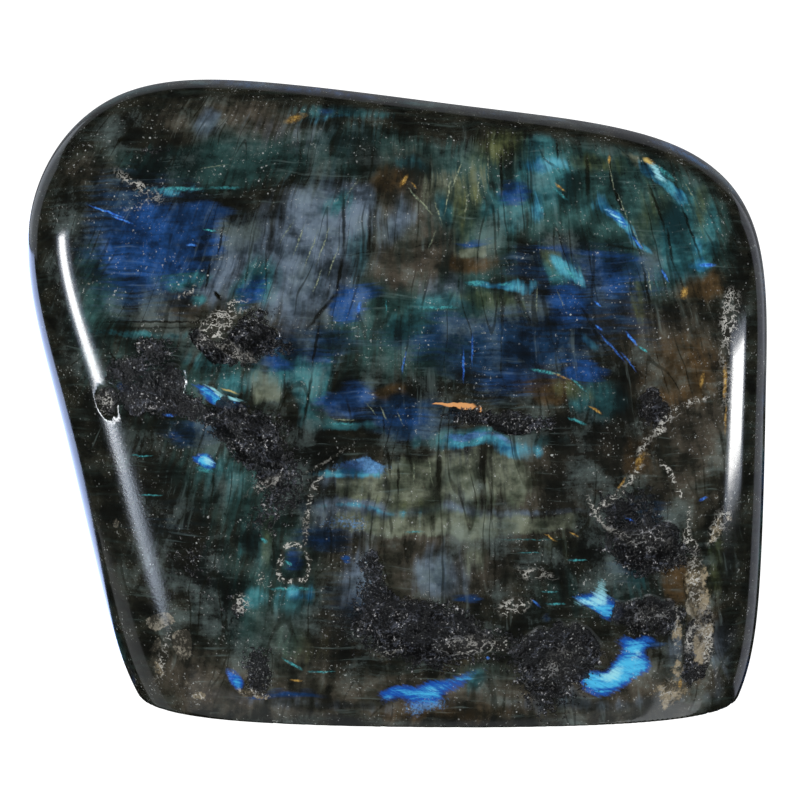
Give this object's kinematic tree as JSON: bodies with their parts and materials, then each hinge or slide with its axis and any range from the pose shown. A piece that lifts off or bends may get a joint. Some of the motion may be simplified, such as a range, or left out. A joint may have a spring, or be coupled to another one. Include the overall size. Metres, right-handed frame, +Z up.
{
  "type": "polished labradorite freeform stone",
  "caption": "Rounded slab of polished blue-flashing feldspar with shallow rough pockets, cut flat underneath so that it stands on its own as an ornament or paperweight.",
  "frame": {"origin": "middle of the underside of the bounding box, in the plane of the flat cut foot", "axes": "+Z up, +X to the right along the slab's width as the polished front is seen, -Y out of the front"},
  "size_m": [0.1148, 0.0422, 0.0967],
  "materials": {
    "polished_labradorite": "high polish over dark green-grey feldspar with blue and teal flashes; rough black mica in shallow pockets"
  },
  "bodies": {
    "root": {"labradorite_freeform": "polished_labradorite"}
  },
  "joints": []
}
